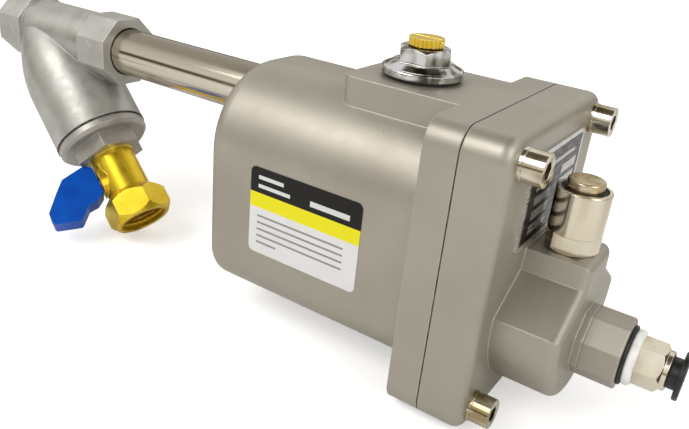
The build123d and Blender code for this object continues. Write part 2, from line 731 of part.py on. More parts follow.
with BuildPart() as top_plug:
    extrude(disc(upright(plug_base, plug_x), plug_flange_r), amount=plug_flange_height)
    fillet(top_plug.edges().sort_by(Axis.Z)[-1], plug_flange_height * 0.4)
    with BuildSketch(upright(flange_up, plug_x)):
        Circle(plug_flange_r - plug_flange_height * 0.5)
    with BuildSketch(upright(dome_up, plug_x)):
        Circle(plug_dome_r)
    loft()
    extrude(hexagon(upright(dome_up, plug_x), plug_hex), amount=plug_hex_height)
    extrude(disc(upright(plug_base, plug_x), g38_r - thread_gap), amount=-plug_ring_height - plug_spigot)
    # the hexagon's top is chamfered to a round face
    crown_r = plug_hex / 2 / cos(radians(30))
    with BuildSketch(Plane(origin=(plug_x, 0, dome_up), x_dir=(1, 0, 0), z_dir=(0, -1, 0))):
        with BuildLine():
            Polyline((plug_hex / 2 - 0.4, plug_hex_height), (crown_r + 1, plug_hex_height),
                     (crown_r + 1, plug_hex_height - 1.6), (plug_hex / 2 - 0.4, plug_hex_height))
        make_face()
    revolve(axis=Axis((plug_x, 0, 0), (0, 0, 1)), mode=Mode.SUBTRACT)
    # bleed screw's bore and the vent below it
    extrude(disc(upright(hex_up, plug_x), bleed_shank_r + running_gap), amount=-bleed_shank_length - 1,
            mode=Mode.SUBTRACT)
    extrude(disc(upright(hex_up, plug_x), vent_r),
            amount=-(hex_up - flange_top) - plug_spigot, mode=Mode.SUBTRACT)
top_plug.part.label = "top_plug"
export_step(top_plug.part, "parts/top_plug.step")

with BuildPart() as bleed_screw:
    head_base = hex_up + seat_gap
    extrude(disc(upright(head_base, plug_x), bleed_head_r), amount=bleed_head_height)
    with BuildSketch(upright(head_base, plug_x)):
        with PolarLocations(bleed_head_r, knurl_count):
            Circle(knurl_depth)
    extrude(amount=bleed_head_height, mode=Mode.SUBTRACT)
    extrude(disc(upright(head_base, plug_x), bleed_shank_r), amount=-bleed_shank_length + 1)
    # screwdriver slot
    with BuildSketch(upright(head_base + bleed_head_height, plug_x)):
        Rectangle(2 * bleed_head_r, 1.2)
    extrude(amount=-1, mode=Mode.SUBTRACT)
bleed_screw.part.label = "bleed_screw"
export_step(bleed_screw.part, "parts/bleed_screw.step")

# ================================================================ test button
button_plane = upright(pad_top, button_axis_x)
collar_base = pad_top + button_base_height
collar_top = collar_base + button_collar_height
button_top = collar_top + button_proud
cap_base = button_top - button_cap_height

with BuildPart() as button_valve_body:
    extrude(hexagon(button_plane, button_base_hex), amount=button_base_height)
    base_corner = button_base_hex / 2 / cos(radians(30))
    with BuildSketch(Plane(origin=(button_axis_x, 0, pad_top), x_dir=(1, 0, 0), z_dir=(0, -1, 0))):
        with BuildLine():
            Polyline((button_base_hex / 2 - 0.2, 0), (base_corner + 1, 0), (base_corner + 1, 1.8),
                     (button_base_hex / 2 - 0.2, 0))
        make_face()
    revolve(axis=Axis((button_axis_x, 0, 0), (0, 0, 1)), mode=Mode.SUBTRACT)
    extrude(disc(upright(collar_base, button_axis_x), button_collar_r), amount=button_collar_height)
    fillet(button_valve_body.edges().filter_by(GeomType.CIRCLE).sort_by(Axis.Z)[-1], 0.6)
    extrude(disc(button_plane, g14_r), amount=-button_spigot)
    # bore for the cap and spring, recess for the lip seal, guide for the stem
    extrude(disc(upright(collar_top, button_axis_x), button_r + running_gap),
            amount=-(collar_top - pad_top - button_floor), mode=Mode.SUBTRACT)
    extrude(disc(upright(collar_top, button_axis_x), lip_r), amount=-lip_sink - lip_height,
            mode=Mode.SUBTRACT)
    extrude(disc(upright(collar_top, button_axis_x), button_stem_r + running_gap),
            amount=-(collar_top - pad_top) - button_spigot, mode=Mode.SUBTRACT)
button_valve_body.part.label = "button_valve_body"
export_step(button_valve_body.part, "parts/button_valve_body.step")

with BuildPart() as button_lip_seal:
    extrude(ring(upright(collar_top - lip_sink - lip_height, button_axis_x), lip_r - running_gap,
                 button_r + running_gap), amount=lip_height)
button_lip_seal.part.label = "button_lip_seal"
export_step(button_lip_seal.part, "parts/button_lip_seal.step")

with BuildPart() as test_button:
    extrude(disc(upright(cap_base, button_axis_x), button_r), amount=button_cap_height)
    fillet(test_button.edges().sort_by(Axis.Z)[-1], 0.8)
    extrude(disc(upright(cap_base, button_axis_x), button_stem_r),
            amount=-(cap_base - pad_top) - button_spigot + button_travel + 1)
test_button.part.label = "test_button"
export_step(test_button.part, "parts/test_button.step")

with BuildPart() as button_spring:
    spring_foot = pad_top + button_floor + button_wire_r
    spring_length = cap_base - spring_foot - button_wire_r
    with BuildLine():
        coil = Helix(pitch=spring_length / button_coils, height=spring_length, radius=button_coil_r,
                     center=(button_axis_x, 0, spring_foot))
    with BuildSketch(Plane(origin=coil @ 0, z_dir=coil % 0)):
        Circle(button_wire_r)
    sweep(is_frenet=True)
button_spring.part.label = "button_spring"
export_step(button_spring.part, "parts/button_spring.step")

# ================================================================ outlet adapter and push-in fitting
adapter_front = stub_front + adapter_length
black_front = adapter_front + ring_black_thickness
white_front = black_front + ring_white_thickness
hex_end = white_front + fitting_hex_length
nose_end = hex_end + fitting_nose_length

with BuildPart() as outlet_adapter:
    extrude(octagon(across(stub_front, 0, outlet_z), outlet_flats), amount=adapter_length)
    chamfer(outlet_adapter.faces().sort_by(Axis.X)[-1].edges(), 0.5)
    extrude(disc(across(stub_front, 0, outlet_z), g38_r), amount=-adapter_spigot)
    extrude(disc(across(stub_front - adapter_spigot, 0, outlet_z), outlet_bore_r),
            amount=adapter_spigot + adapter_length, mode=Mode.SUBTRACT)
    extrude(disc(across(adapter_front, 0, outlet_z), g14_r + thread_gap), amount=-fitting_spigot - thread_gap,
            mode=Mode.SUBTRACT)
outlet_adapter.part.label = "outlet_adapter"
export_step(outlet_adapter.part, "parts/outlet_adapter.step")

with BuildPart() as adapter_ring:
    extrude(ring(across(adapter_front, 0, outlet_z), ring_black_r, g14_r + thread_gap),
            amount=ring_black_thickness)
    fillet(adapter_ring.edges().filter_by(GeomType.CIRCLE).group_by(SortBy.RADIUS)[-1], ring_black_thickness * 0.4)
adapter_ring.part.label = "adapter_ring"
export_step(adapter_ring.part, "parts/adapter_ring.step")

with BuildPart() as fitting_ring:
    extrude(ring(across(black_front, 0, outlet_z), ring_white_r, g14_r + thread_gap),
            amount=ring_white_thickness)
    fillet(fitting_ring.edges().filter_by(GeomType.CIRCLE).group_by(SortBy.RADIUS)[-1], ring_white_thickness * 0.4)
fitting_ring.part.label = "fitting_ring"
export_step(fitting_ring.part, "parts/fitting_ring.step")

tube_bore_r = tube_r + 0.1
nose_bore_r = collar_neck_r + running_gap
with BuildPart() as fitting_body:
    extrude(hexagon(across(white_front, 0, outlet_z), fitting_hex), amount=fitting_hex_length)
    nose_corner = fitting_hex / 2 / cos(radians(30))
    with BuildSketch(Plane(origin=(hex_end, 0, outlet_z), x_dir=(1, 0, 0), z_dir=(0, -1, 0))):
        with BuildLine():
            Polyline((0, fitting_hex / 2 - 0.3), (0, nose_corner + 1), (-2, nose_corner + 1),
                     (0, fitting_hex / 2 - 0.3))
        make_face()
    revolve(axis=Axis((0, 0, outlet_z), (1, 0, 0)), mode=Mode.SUBTRACT)
    extrude(disc(across(hex_end, 0, outlet_z), fitting_nose_r), amount=fitting_nose_length)
    chamfer(fitting_body.faces().sort_by(Axis.X)[-1].edges(), 0.5)
    extrude(disc(across(white_front, 0, outlet_z), g14_r),
            amount=-(white_front - adapter_front) - fitting_spigot)
    # tube way, tube stop and the wider mouth for ring, grab ring and release collar
    extrude(disc(across(nose_end, 0, outlet_z), tube_bore_r), amount=-tube_stop, mode=Mode.SUBTRACT)
    extrude(disc(across(nose_end, 0, outlet_z), tube_bore_r - 1.2),
            amount=-(nose_end - adapter_front) - fitting_spigot, mode=Mode.SUBTRACT)
    mouth_depth = collar_depth + collar_travel + grab_ring_thickness + tube_ring_thickness + 2 * seat_gap
    extrude(disc(across(nose_end, 0, outlet_z), nose_bore_r), amount=-mouth_depth, mode=Mode.SUBTRACT)
fitting_body.part.label = "fitting_body"
export_step(fitting_body.part, "parts/fitting_body.step")

mouth_floor = nose_end - mouth_depth
with BuildPart() as tube_ring:
    extrude(ring(across(mouth_floor, 0, outlet_z), nose_bore_r - running_gap, tube_bore_r),
            amount=tube_ring_thickness)
tube_ring.part.label = "tube_ring"
export_step(tube_ring.part, "parts/tube_ring.step")

with BuildPart() as grab_ring:
    extrude(ring(across(mouth_floor + tube_ring_thickness, 0, outlet_z), nose_bore_r - running_gap, tube_bore_r),
            amount=grab_ring_thickness)
    # the ring is cut into teeth from its bore
    with BuildSketch(across(mouth_floor + tube_ring_thickness, 0, outlet_z)):
        with PolarLocations(tube_bore_r, 8):
            Rectangle(1.0, 0.6)
    extrude(amount=grab_ring_thickness, mode=Mode.SUBTRACT)
grab_ring.part.label = "grab_ring"
export_step(grab_ring.part, "parts/grab_ring.step")

with BuildPart() as release_collar:
    flange_at = nose_end + collar_out
    extrude(disc(across(flange_at, 0, outlet_z), collar_flange_r), amount=collar_flange_thickness)
    fillet(release_collar.edges().filter_by(GeomType.CIRCLE), 0.5)
    extrude(disc(across(nose_end - collar_depth, 0, outlet_z), collar_neck_r), amount=collar_depth + collar_out)
    extrude(disc(across(nose_end - collar_depth, 0, outlet_z), tube_bore_r),
            amount=collar_depth + collar_out + collar_flange_thickness, mode=Mode.SUBTRACT)
release_collar.part.label = "release_collar"
export_step(release_collar.part, "parts/release_collar.step")

# ================================================================ drain piston and main seat
piston_back = cover_x + cylinder_cap_thickness + piston_travel + 6
piston_front = piston_back + piston_length
seat_face = cover_x + cylinder_length + 2
nose_front = seat_face - seat_gap

with BuildPart() as cylinder_cap:
    extrude(disc(across(cover_x, 0, outlet_z), cylinder_cap_r), amount=cylinder_cap_thickness)
    with BuildSketch(across(cover_x, 0, outlet_z)):
        Rectangle(2 * cylinder_cap_r - 8, 2)
    extrude(amount=1, mode=Mode.SUBTRACT)
cylinder_cap.part.label = "cylinder_cap"
export_step(cylinder_cap.part, "parts/cylinder_cap.step")

with BuildPart() as drain_piston:
    extrude(disc(across(piston_back, 0, outlet_z), cylinder_r - running_gap), amount=piston_length)
    extrude(disc(across(piston_front, 0, outlet_z), piston_nose_r),
            amount=nose_front - valve_disc_thickness - piston_front)
    # groove for the piston ring and a pocket for the spring
    with BuildSketch(across(piston_back + piston_length / 2 - piston_ring_r, 0, outlet_z)):
        Circle(cylinder_r)
        Circle(cylinder_r - 2 * piston_ring_r, mode=Mode.SUBTRACT)
    extrude(amount=2 * piston_ring_r, mode=Mode.SUBTRACT)
    extrude(ring(across(piston_back, 0, outlet_z), drain_coil_r + drain_wire_r + 0.6,
                 drain_coil_r - drain_wire_r - 0.6), amount=1.5, mode=Mode.SUBTRACT)
drain_piston.part.label = "drain_piston"
export_step(drain_piston.part, "parts/drain_piston.step")

with BuildPart() as piston_ring:
    extrude(ring(across(piston_back + piston_length / 2 - piston_ring_r + running_gap, 0, outlet_z),
                 cylinder_r - running_gap, cylinder_r - 2 * piston_ring_r),
            amount=2 * (piston_ring_r - running_gap))
piston_ring.part.label = "piston_ring"
export_step(piston_ring.part, "parts/piston_ring.step")

with BuildPart() as valve_disc:
    extrude(disc(across(nose_front - valve_disc_thickness, 0, outlet_z), piston_nose_r),
            amount=valve_disc_thickness)
valve_disc.part.label = "valve_disc"
export_step(valve_disc.part, "parts/valve_disc.step")

with BuildPart() as main_seat:
    extrude(ring(across(seat_face, 0, outlet_z), main_seat_r, outlet_bore_r), amount=main_seat_thickness)
    chamfer(main_seat.edges().filter_by(GeomType.CIRCLE).group_by(Axis.X)[0].sort_by(SortBy.RADIUS)[0], 0.6)
main_seat.part.label = "main_seat"
export_step(main_seat.part, "parts/main_seat.step")

with BuildPart() as piston_spring:
    drain_foot = cover_x + cylinder_cap_thickness + drain_wire_r
    drain_length = piston_back + 1.5 - drain_wire_r - drain_foot
    with BuildLine():
        turns = Helix(pitch=drain_length / drain_coils, height=drain_length, radius=drain_coil_r,
                      center=(drain_foot, 0, outlet_z), direction=(1, 0, 0))
    with BuildSketch(Plane(origin=turns @ 0, z_dir=turns % 0)):
        Circle(drain_wire_r)
    sweep(is_frenet=True)
piston_spring.part.label = "piston_spring"
export_step(piston_spring.part, "parts/piston_spring.step")

# ================================================================ pilot valve
pilot_plane = across(cover_x, 0, pilot_z)

with BuildPart() as pilot_nozzle:
    extrude(disc(pilot_plane, pilot_seat_r), amount=pilot_seat_length)
    extrude(disc(pilot_plane, pilot_pin_r + running_gap), amount=pilot_seat_length, mode=Mode.SUBTRACT)
    extrude(disc(across(cover_x + pilot_floor, 0, pilot_z), pilot_head_r + running_gap),
            amount=pilot_seat_length - pilot_floor, mode=Mode.SUBTRACT)
pilot_nozzle.part.label = "pilot_nozzle"
export_step(pilot_nozzle.part, "parts/pilot_nozzle.step")

with BuildPart() as pilot_pin:
    extrude(disc(across(cover_x - pilot_tip, 0, pilot_z), pilot_pin_r), amount=pilot_tip + pilot_floor + seat_gap)
    fillet(pilot_pin.edges().sort_by(Axis.X)[0], 0.6)
    extrude(disc(across(cover_x + pilot_floor + seat_gap, 0, pilot_z), pilot_head_r), amount=pilot_head_length)
pilot_pin.part.label = "pilot_pin"
export_step(pilot_pin.part, "parts/pilot_pin.step")

# ================================================================ float, lever and bracket
with BuildPart() as lever_bracket:
    half_gap = lever_width / 2 + seat_gap
    with BuildSketch(across(cover_x, 0, pivot_z)):
        Rectangle(2 * (half_gap + bracket_cheek), bracket_height)
    extrude(amount=-bracket_base)
    for side in (-1, 1):
        with BuildSketch(Plane(origin=(cover_x, side * half_gap, pivot_z), x_dir=(1, 0, 0), z_dir=(0, side, 0))):
            with BuildLine():
                Polyline((0, bracket_height / 2), (-pivot_back, lever_eye_r + 0.5))
                Line((-pivot_back, lever_eye_r + 0.5), (-pivot_back - 3, lever_eye_r + 0.5))
                Line((-pivot_back - 3, lever_eye_r + 0.5), (-pivot_back - 3, -lever_eye_r - 0.5))
                Line((-pivot_back - 3, -lever_eye_r - 0.5), (-pivot_back, -lever_eye_r - 0.5))
                Polyline((-pivot_back, -lever_eye_r - 0.5), (0, -bracket_height / 2), (0, bracket_height / 2))
            make_face()
        extrude(amount=bracket_cheek)
    # window for the pilot pin and holes for the pivot pin and the two screws
    extrude(disc(across(cover_x, 0, pilot_z), pilot_seat_r + 0.3), amount=-bracket_base, mode=Mode.SUBTRACT)
    extrude(disc(Plane(origin=(pivot_x, 0, pivot_z), x_dir=(1, 0, 0), z_dir=(0, -1, 0)), pivot_r),
            amount=bracket_width, both=True, mode=Mode.SUBTRACT)
    extrude(disc(across(cover_x, 0, bracket_screw_z), bracket_screw_r + 0.1), amount=-bracket_base,
            mode=Mode.SUBTRACT)
lever_bracket.part.label = "lever_bracket"
export_step(lever_bracket.part, "parts/lever_bracket.step")

with BuildPart() as bracket_screw:
    head_at = cover_x - bracket_base
    extrude(disc(across(head_at, 0, bracket_screw_z), bracket_screw_head_r), amount=-2)
    fillet(bracket_screw.edges().sort_by(Axis.X)[0], 0.8)
    extrude(disc(across(head_at, 0, bracket_screw_z), bracket_screw_r), amount=bracket_screw_length)
bracket_screw.part.label = "bracket_screw"
export_step(bracket_screw.part, "parts/bracket_screw.step")

with BuildPart() as pivot_pin:
    pin_length = 2 * (half_gap + bracket_cheek) + 2
    extrude(disc(Plane(origin=(pivot_x, 0, pivot_z), x_dir=(1, 0, 0), z_dir=(0, -1, 0)), pivot_r),
            amount=pin_length / 2, both=True)
pivot_pin.part.label = "pivot_pin"
export_step(pivot_pin.part, "parts/pivot_pin.step")

float_x = pivot_x - float_arm * cos(radians(float_dip))
float_z = pivot_z - float_arm * sin(radians(float_dip))
arm_dir = Vector(float_x - pivot_x, 0, float_z - pivot_z).normalized()
with BuildPart() as float_lever:
    # eye on the pivot, heel above it that pushes the pilot pin, arm to the float
    side_plane = Plane(origin=(pivot_x, 0, pivot_z), x_dir=arm_dir, z_dir=arm_dir.cross(Vector(0, 0, 1)))
    extrude(disc(side_plane, lever_eye_r), amount=lever_width / 2, both=True)
    with BuildSketch(Plane(origin=(pivot_x, 0, pivot_z), x_dir=(1, 0, 0), z_dir=(0, -1, 0))):
        with Locations((0, lever_heel / 2)):
            Rectangle(lever_thickness, lever_heel)
        with Locations((0, lever_heel)):
            Circle(lever_thickness / 2)
    extrude(amount=lever_width / 2, both=True)
    with BuildSketch(side_plane):
        with Locations(((float_arm - float_r) / 2, 0)):
            Rectangle(float_arm - float_r, lever_thickness)
    extrude(amount=lever_width / 2, both=True)
    # stud into the float's socket
    extrude(disc(Plane(origin=(pivot_x, 0, pivot_z), z_dir=arm_dir).offset(float_arm - float_r), 2.0), amount=3)
    extrude(disc(side_plane, pivot_r + running_gap), amount=lever_width, both=True, mode=Mode.SUBTRACT)
float_lever.part.label = "float_lever"
export_step(float_lever.part, "parts/float_lever.step")

with BuildPart() as float_ball:
    with Locations((float_x, 0, float_z)):
        Sphere(float_r)
    # flat and socket for the lever's stud
    extrude(disc(Plane(origin=(pivot_x, 0, pivot_z), z_dir=arm_dir).offset(float_arm - float_r - 1), 2 * float_r),
            amount=1.5, mode=Mode.SUBTRACT)
    extrude(disc(Plane(origin=(pivot_x, 0, pivot_z), z_dir=arm_dir).offset(float_arm - float_r), 2.0), amount=3.5,
            mode=Mode.SUBTRACT)
float_ball.part.label = "float_ball"
export_step(float_ball.part, "parts/float_ball.step")
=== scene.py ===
# Automatic drain valve for compressed air, dressed for the studio. Metres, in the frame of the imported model:
# +X runs along the inlet pipe towards the outlet, +Z is up, and the label faces -Y.
import math
import bmesh
import bpy
from mathutils import Matrix, Vector


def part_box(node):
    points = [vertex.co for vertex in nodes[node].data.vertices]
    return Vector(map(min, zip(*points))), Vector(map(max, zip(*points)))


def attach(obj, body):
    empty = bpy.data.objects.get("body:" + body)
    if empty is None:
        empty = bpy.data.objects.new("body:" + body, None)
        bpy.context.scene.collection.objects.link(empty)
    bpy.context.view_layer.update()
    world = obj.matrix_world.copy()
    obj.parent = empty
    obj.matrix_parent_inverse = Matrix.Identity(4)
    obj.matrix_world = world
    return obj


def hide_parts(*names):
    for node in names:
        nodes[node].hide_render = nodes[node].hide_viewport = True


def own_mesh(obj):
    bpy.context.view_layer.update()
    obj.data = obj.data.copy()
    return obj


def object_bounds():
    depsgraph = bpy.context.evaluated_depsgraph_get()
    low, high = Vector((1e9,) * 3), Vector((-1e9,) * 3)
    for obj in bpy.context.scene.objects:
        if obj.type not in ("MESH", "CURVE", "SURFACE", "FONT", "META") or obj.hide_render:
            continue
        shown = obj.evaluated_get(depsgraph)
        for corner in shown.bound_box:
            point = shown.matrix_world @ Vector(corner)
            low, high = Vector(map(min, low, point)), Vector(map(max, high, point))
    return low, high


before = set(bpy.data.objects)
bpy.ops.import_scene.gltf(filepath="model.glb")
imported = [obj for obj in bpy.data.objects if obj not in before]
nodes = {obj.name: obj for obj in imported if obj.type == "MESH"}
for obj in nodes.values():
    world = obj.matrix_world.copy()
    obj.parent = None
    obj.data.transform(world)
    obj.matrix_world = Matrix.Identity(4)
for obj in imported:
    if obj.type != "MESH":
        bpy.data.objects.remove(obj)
cad_low, cad_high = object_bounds()

# ---------------------------------------------------------------- camera
# The valve is seen from its label side and from above its outlet end, with the camera rolled a little.
camera_place = Vector((0.33096, -0.21758, 0.07938))
camera_turn = math.radians(31.74)
camera_rise = math.radians(24.86)
camera_roll = math.radians(5.93)
back = Vector((math.sin(camera_turn) * math.cos(camera_rise),
               -math.cos(camera_turn) * math.cos(camera_rise), math.sin(camera_rise)))
level = Vector((math.cos(camera_turn), math.sin(camera_turn), 0.0))
upright = back.cross(level)
right = math.cos(camera_roll) * level + math.sin(camera_roll) * upright
above = math.cos(camera_roll) * upright - math.sin(camera_roll) * level
camera = bpy.data.objects.new("camera", bpy.data.cameras.new("camera"))
bpy.context.scene.collection.objects.link(camera)
camera.matrix_world = Matrix.Translation(camera_place) @ Matrix((right, above, back)).transposed().to_4x4()
camera.data.lens = 37.81
camera.data.sensor_width = 36.0
camera.data.clip_start = 0.005
camera.data.clip_end = 50.0
bpy.context.scene.camera = camera
bpy.context.scene.view_settings.view_transform = "Standard"

# ---------------------------------------------------------------- floor and light
# A plain white floor under the valve, a surround that looks white, one broad lamp above on the left and a
# weaker one on the right.
floor_mesh = bpy.data.meshes.new("floor")
floor_half = 4.0
floor_z = cad_low.z - 0.0005
floor_mesh.from_pydata([(x, y, floor_z) for x, y in ((-floor_half, -floor_half), (floor_half, -floor_half),
                                                     (floor_half, floor_half), (-floor_half, floor_half))],
                       [], [(0, 1, 2, 3)])
floor = bpy.data.objects.new("floor", floor_mesh)
bpy.context.scene.collection.objects.link(floor)


def white_to_the_eye(tree, plain, glowing, into):
    """The plain shader lights the valve and shows in its metal, and the eye sees the glowing one."""
    path = tree.nodes.new("ShaderNodeLightPath")
    mix = tree.nodes.new("ShaderNodeMixShader")
    tree.links.new(path.outputs["Is Camera Ray"], mix.inputs[0])
    tree.links.new(plain.outputs[0], mix.inputs[1])
    tree.links.new(glowing.outputs[0], mix.inputs[2])
    tree.links.new(mix.outputs[0], into)


paper = bpy.data.materials.new("floor_paper")
paper.use_nodes = True
paper_tree = paper.node_tree
paper_plain = paper_tree.nodes["Principled BSDF"]
paper_plain.inputs["Base Color"].default_value = (0.88, 0.88, 0.88, 1)
paper_plain.inputs["Roughness"].default_value = 0.9
paper_glow = paper_tree.nodes.new("ShaderNodeEmission")
paper_glow.inputs["Strength"].default_value = 0.45
paper_sum = paper_tree.nodes.new("ShaderNodeAddShader")
paper_tree.links.new(paper_plain.outputs[0], paper_sum.inputs[0])
paper_tree.links.new(paper_glow.outputs[0], paper_sum.inputs[1])
white_to_the_eye(paper_tree, paper_plain, paper_sum, paper_tree.nodes["Material Output"].inputs["Surface"])
floor_mesh.materials.append(paper)

world = bpy.data.worlds.new("studio")
world.use_nodes = True
bpy.context.scene.world = world
around = world.node_tree
sky = around.nodes["Background"]
sky.inputs["Strength"].default_value = 0.85
white = around.nodes.new("ShaderNodeBackground")
white.inputs["Color"].default_value = (1, 1, 1, 1)
white.inputs["Strength"].default_value = 1.0
# The room is dark overhead and along the horizon, which is what the bright metal shows as dark bands.
room_way = around.nodes.new("ShaderNodeTexCoord")
room_height = around.nodes.new("ShaderNodeSeparateXYZ")
room_spread = around.nodes.new("ShaderNodeMapRange")
room_spread.inputs["From Min"].default_value = -1.0
room_tone = around.nodes.new("ShaderNodeValToRGB")
room_tone.color_ramp.elements[0].color = (0.9, 0.87, 0.8, 1)
room_tone.color_ramp.elements[1].color = (0.10, 0.08, 0.05, 1)
room_tones = (
    (0.49, (0.8, 0.74, 0.62, 1)),
    (0.515, (0.08, 0.05, 0.015, 1)),
    (0.57, (0.12, 0.085, 0.035, 1)),
    (0.61, (0.95, 0.92, 0.86, 1)),
    (0.90, (1.15, 1.15, 1.15, 1)),
    (0.935, (0.16, 0.13, 0.09, 1)),
)
for height, tone in room_tones:
    room_tone.color_ramp.elements.new(height).color = tone
around.links.new(room_way.outputs["Generated"], room_height.inputs[0])
around.links.new(room_height.outputs["Z"], room_spread.inputs["Value"])
around.links.new(room_spread.outputs["Result"], room_tone.inputs["Fac"])
around.links.new(room_tone.outputs["Color"], sky.inputs["Color"])
white_to_the_eye(around, sky, white, around.nodes["World Output"].inputs["Surface"])


def lamp(name, place, towards, width, height, power):
    """A soft rectangular lamp."""
    data = bpy.data.lights.new(name, "AREA")
    data.shape = "RECTANGLE"
    data.size = width
    data.size_y = height
    data.energy = power
    made = bpy.data.objects.new(name, data)
    bpy.context.scene.collection.objects.link(made)
    made.location = place
    made.rotation_mode = "QUATERNION"
    made.rotation_quaternion = (Vector(towards) - Vector(place)).to_track_quat("-Z", "Y")


middle = (cad_low + cad_high) / 2
lamp("key", (-0.35, -0.9, 1.1), middle, 1.0, 0.7, 9.0)
lamp("fill", (1.1, -0.25, 0.55), middle, 0.5, 0.8, 3.0)

# ---------------------------------------------------------------- housing, cover and outlet adapter
# Gravity-cast aluminium, tumbled and fine-blasted to a warm satin grey, with softly rounded edges that carry a
# painted highlight in a lighter grey. The cover is clamped to the housing by four screws.
cast_grey = (0.40, 0.37, 0.31)
cast_light = (0.42, 0.39, 0.33)
cast_dark = (0.375, 0.345, 0.287)
cast_edge_highlight = (0.60, 0.57, 0.50)


def finish(name, colour, metal, rough):
    """A new finish, with its even values on the shader itself."""
    made = bpy.data.materials.new(name)
    made.use_nodes = True
    shader = made.node_tree.nodes["Principled BSDF"]
    shader.inputs["Base Color"].default_value = (*colour, 1.0)
    shader.inputs["Metallic"].default_value = metal
    shader.inputs["Roughness"].default_value = rough
    return made


def mottle(made, size, stretch=(1.0, 1.0, 1.0), depth=3.0):
    """A cloudy pattern with patches of about this size, drawn out along an axis where stretch is large."""
    tree = made.node_tree
    place = tree.nodes.new("ShaderNodeTexCoord")
    drawn = tree.nodes.new("ShaderNodeMapping")
    drawn.inputs["Scale"].default_value = [1.0 / along for along in stretch]
    cloud = tree.nodes.new("ShaderNodeTexNoise")
    cloud.inputs["Scale"].default_value = 1.0 / size
    cloud.inputs["Detail"].default_value = depth
    tree.links.new(place.outputs["Object"], drawn.inputs["Vector"])
    tree.links.new(drawn.outputs["Vector"], cloud.inputs["Vector"])
    return cloud.outputs["Fac"]


def colour_by(made, pattern, *steps):
    """Base colour read off the pattern; each step is (place, colour)."""
    tree = made.node_tree
    ramp = tree.nodes.new("ShaderNodeValToRGB")
    stops = ramp.color_ramp.elements
    while len(stops) < len(steps):
        stops.new(0.5)
    for stop, (place, colour) in zip(stops, steps):
        stop.position = place
        stop.color = (*colour, 1.0)
    tree.links.new(pattern, ramp.inputs["Fac"])
    tree.links.new(ramp.outputs["Color"], tree.nodes["Principled BSDF"].inputs["Base Color"])


def paint_over(made, mask, colour):
    """A second colour laid over the first where the mask is high."""
    tree = made.node_tree
    base = tree.nodes["Principled BSDF"].inputs["Base Color"]
    mix = tree.nodes.new("ShaderNodeMix")
    mix.data_type = "RGBA"
    mix.inputs[7].default_value = (*colour, 1.0)
    if base.is_linked:
        tree.links.new(base.links[0].from_socket, mix.inputs[6])
    else:
        mix.inputs[6].default_value = base.default_value
    tree.links.new(mask, mix.inputs[0])
    tree.links.new(mix.outputs[2], base)


def range_of(made, pattern, low, high, start=0.35, end=0.65):
    """The pattern's span from start to end, stretched to run from low to high."""
    tree = made.node_tree
    spread = tree.nodes.new("ShaderNodeMapRange")
    tree.links.new(pattern, spread.inputs["Value"])
    for socket, value in (("From Min", start), ("From Max", end), ("To Min", low), ("To Max", high)):
        spread.inputs[socket].default_value = value
    return spread.outputs["Result"]


def rough_by(made, pattern, low, high, start=0.35, end=0.65):
    shader = made.node_tree.nodes["Principled BSDF"]
    made.node_tree.links.new(range_of(made, pattern, low, high, start, end), shader.inputs["Roughness"])


def relief(made, pattern, height):
    """Low relief from a pattern, on top of what the surface already has."""
    tree = made.node_tree
    normal = tree.nodes["Principled BSDF"].inputs["Normal"]
    bump = tree.nodes.new("ShaderNodeBump")
    bump.inputs["Distance"].default_value = height
    if normal.is_linked:
        tree.links.new(normal.links[0].from_socket, bump.inputs["Normal"])
    tree.links.new(pattern, bump.inputs["Height"])
    tree.links.new(bump.outputs["Normal"], normal)


def rounded_edges_and_highlight_mask(made, radius):
    """Edges shaded as if broken to this radius. Gives back a mask that is high along them, for a painted
    highlight.
    """
    tree = made.node_tree
    rounded = tree.nodes.new("ShaderNodeBevel")
    rounded.samples = 6
    rounded.inputs["Radius"].default_value = radius
    tree.links.new(rounded.outputs["Normal"], tree.nodes["Principled BSDF"].inputs["Normal"])
    flat = tree.nodes.new("ShaderNodeNewGeometry")
    same = tree.nodes.new("ShaderNodeVectorMath")
    same.operation = "DOT_PRODUCT"
    tree.links.new(rounded.outputs["Normal"], same.inputs[0])
    tree.links.new(flat.outputs["Normal"], same.inputs[1])
    return range_of(made, same.outputs["Value"], 1.0, 0.0, 0.80, 0.985)


def height_of(made):
    """The height of each point of the surface, in metres."""
    tree = made.node_tree
    place = tree.nodes.new("ShaderNodeTexCoord")
    split = tree.nodes.new("ShaderNodeSeparateXYZ")
    tree.links.new(place.outputs["Object"], split.inputs[0])
    return split.outputs["Z"]


def pits(made, size, share, colour):
    """Small dark pits of about this size over a share of the surface."""
    spots = range_of(made, mottle(made, size, depth=1.0), 0.0, 1.0, 0.8 - share, 0.84 - share)
    paint_over(made, spots, colour)


def printed(made, colour, **spans):
    """A colour printed where the surface lies within the span given for each axis named."""
    tree = made.node_tree
    place = tree.nodes.new("ShaderNodeTexCoord")
    split = tree.nodes.new("ShaderNodeSeparateXYZ")
    tree.links.new(place.outputs["Object"], split.inputs[0])
    mask = None
    for axis, (low, high) in spans.items():
        inside = tree.nodes.new("ShaderNodeMath")
        inside.operation = "COMPARE"
        tree.links.new(split.outputs[axis.upper()], inside.inputs[0])
        inside.inputs[1].default_value = (low + high) / 2
        inside.inputs[2].default_value = (high - low) / 2
        if mask is not None:
            both = tree.nodes.new("ShaderNodeMath")
            both.operation = "MULTIPLY"
            tree.links.new(mask, both.inputs[0])
            tree.links.new(inside.outputs[0], both.inputs[1])
            inside = both
        mask = inside.outputs[0]
    paint_over(made, mask, colour)


def coat(node, made):
    """Gives a node of the model its finish."""
    mesh = nodes[node].data
    mesh.materials.clear()
    mesh.materials.append(made)


